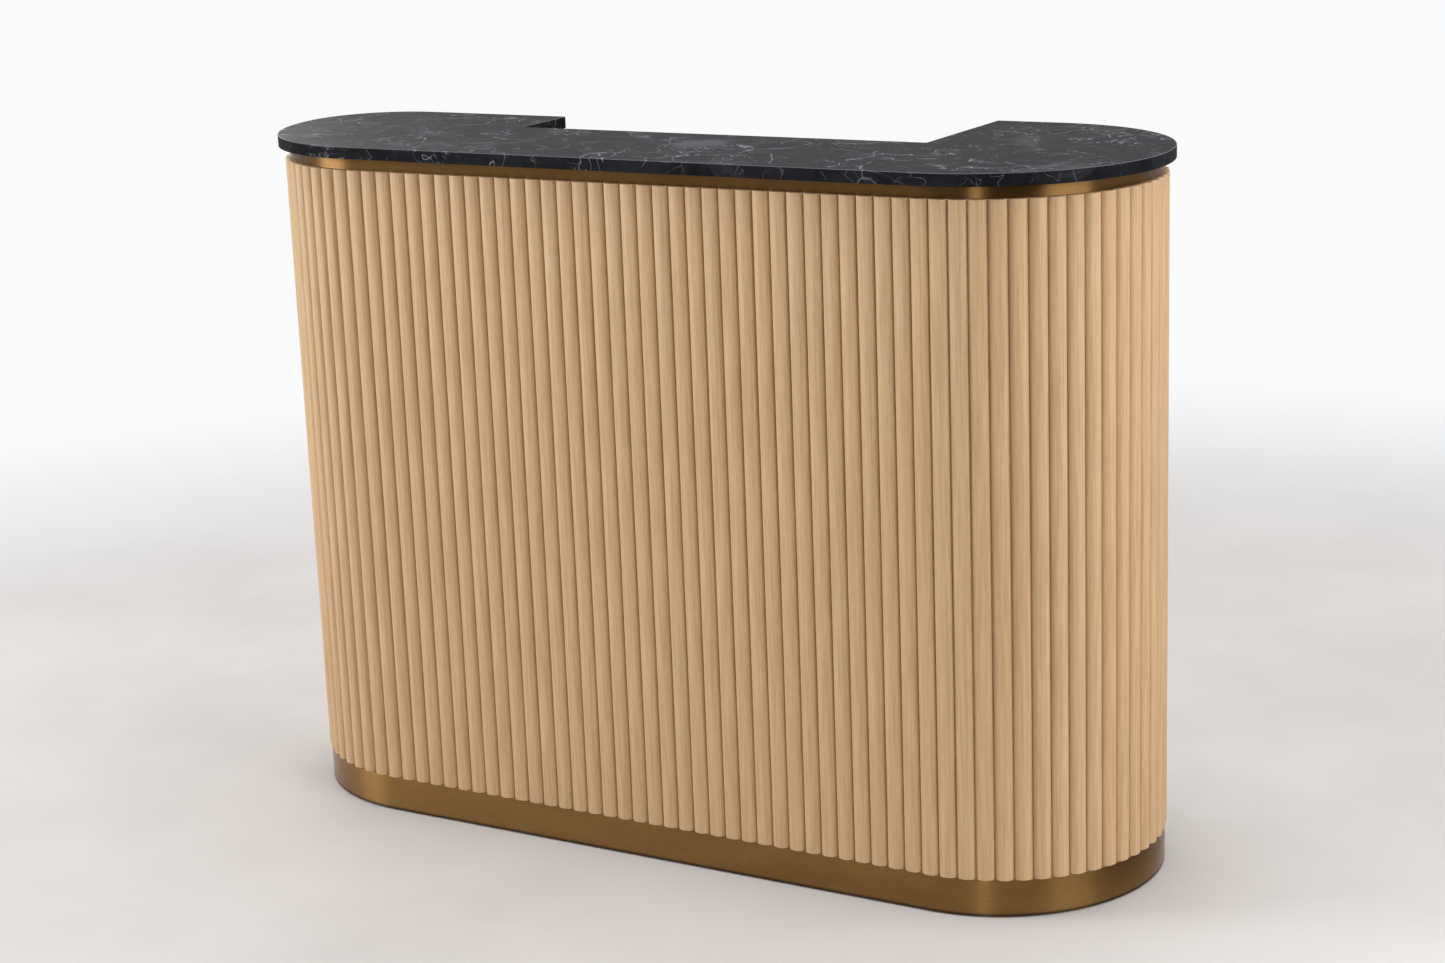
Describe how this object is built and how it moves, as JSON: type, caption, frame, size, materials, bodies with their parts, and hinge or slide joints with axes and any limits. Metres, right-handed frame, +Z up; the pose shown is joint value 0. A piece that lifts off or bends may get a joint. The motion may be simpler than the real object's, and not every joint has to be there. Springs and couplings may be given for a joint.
{
  "type": "checkout counter",
  "caption": "Free-standing checkout counter with round ends, slatted wood walls, metal bands and a stone top notched on the staff side, over a worktop, drawers and a cupboard.",
  "frame": {"origin": "on the floor, at the centre of the counter's footprint", "axes": "+X along the counter, -Y towards the customers, +Y towards the staff, +Z up"},
  "size_m": [1.44, 0.51, 1.05],
  "materials": {
    "black_stone": "satin",
    "oak_slats": "matte",
    "oak_board": "matte",
    "birch_box": "matte",
    "black_laminate": "satin",
    "brushed_bronze": "satin",
    "runner_steel": "satin",
    "foot_rubber": "matte"
  },
  "bodies": {
    "counter": {"top_slab": "black_stone", "top_deck": "oak_board", "upper_band": "brushed_bronze", "front_slats": "oak_slats", "left_slats": "oak_slats", "right_slats": "oak_slats", "front_board": "oak_board", "left_shell": "oak_board", "right_shell": "oak_board", "left_rib": "oak_board", "right_rib": "oak_board", "left_gable": "oak_board", "right_gable": "oak_board", "centre_divider": "oak_board", "base_deck": "oak_board", "plinth_ring": "oak_board", "plinth_skin": "brushed_bronze", "plinth_back": "brushed_bronze", "plinth_return": "brushed_bronze", "worktop": "black_laminate", "grommet_ring": "brushed_bronze", "shelf": "oak_board", "shelf_pin_front_left": "runner_steel", "shelf_pin_front_right": "runner_steel", "shelf_pin_back_left": "runner_steel", "shelf_pin_back_right": "runner_steel", "rail_upper_left": "runner_steel", "rail_upper_right": "runner_steel", "rail_middle_left": "runner_steel", "rail_middle_right": "runner_steel", "rail_lower_left": "runner_steel", "rail_lower_right": "runner_steel", "hinge_leaf_lower": "brushed_bronze", "hinge_leaf_upper": "brushed_bronze"},
    "drawer_upper": {"drawer_front_upper": "oak_board", "drawer_box_upper": "birch_box", "drawer_pull_upper": "brushed_bronze", "runner_upper_left": "runner_steel", "runner_upper_right": "runner_steel"},
    "drawer_middle": {"drawer_front_middle": "oak_board", "drawer_box_middle": "birch_box", "drawer_pull_middle": "brushed_bronze", "runner_middle_left": "runner_steel", "runner_middle_right": "runner_steel"},
    "drawer_lower": {"drawer_front_lower": "oak_board", "drawer_box_lower": "birch_box", "drawer_pull_lower": "brushed_bronze", "runner_lower_left": "runner_steel", "runner_lower_right": "runner_steel"},
    "lock": {"lock_plug": "brushed_bronze"},
    "door": {"door_panel": "oak_board", "door_pull": "brushed_bronze", "hinge_wing_lower": "brushed_bronze", "hinge_wing_upper": "brushed_bronze"},
    "grommet_lid": {"grommet_cap": "brushed_bronze"},
    "foot_front_left": {"foot_front_left": "foot_rubber"},
    "foot_front_right": {"foot_front_right": "foot_rubber"},
    "foot_back_left": {"foot_back_left": "foot_rubber"},
    "foot_back_right": {"foot_back_right": "foot_rubber"}
  },
  "joints": [
    {"name": "drawer_upper_slide", "type": "slide", "parent": "counter", "child": "drawer_upper", "axis": [0, 1, 0], "range_m": [0, 0.21]},
    {"name": "drawer_middle_slide", "type": "slide", "parent": "counter", "child": "drawer_middle", "axis": [0, 1, 0], "range_m": [0, 0.21]},
    {"name": "drawer_lower_slide", "type": "slide", "parent": "counter", "child": "drawer_lower", "axis": [0, 1, 0], "range_m": [0, 0.21]},
    {"name": "lock_turn", "type": "hinge", "parent": "drawer_upper", "child": "lock", "pos_m": [-0.172, 0.0995, 0.705], "axis": [0, -1, 0], "range_deg": [0, 90]},
    {"name": "door_hinge", "type": "hinge", "parent": "counter", "child": "door", "pos_m": [0.3681, 0.103, 0.4], "axis": [0, 0, -1], "range_deg": [0, 90]},
    {"name": "grommet_lid_turn", "type": "hinge", "parent": "counter", "child": "grommet_lid", "pos_m": [0.245, -0.145, 0.75], "axis": [0, 0, 1], "continuous": true},
    {"name": "foot_front_left_adjust", "type": "slide", "parent": "counter", "child": "foot_front_left", "axis": [0, 0, -1], "range_m": [0, 0.01]},
    {"name": "foot_front_right_adjust", "type": "slide", "parent": "counter", "child": "foot_front_right", "axis": [0, 0, -1], "range_m": [0, 0.01]},
    {"name": "foot_back_left_adjust", "type": "slide", "parent": "counter", "child": "foot_back_left", "axis": [0, 0, -1], "range_m": [0, 0.01]},
    {"name": "foot_back_right_adjust", "type": "slide", "parent": "counter", "child": "foot_back_right", "axis": [0, 0, -1], "range_m": [0, 0.01]}
  ]
}
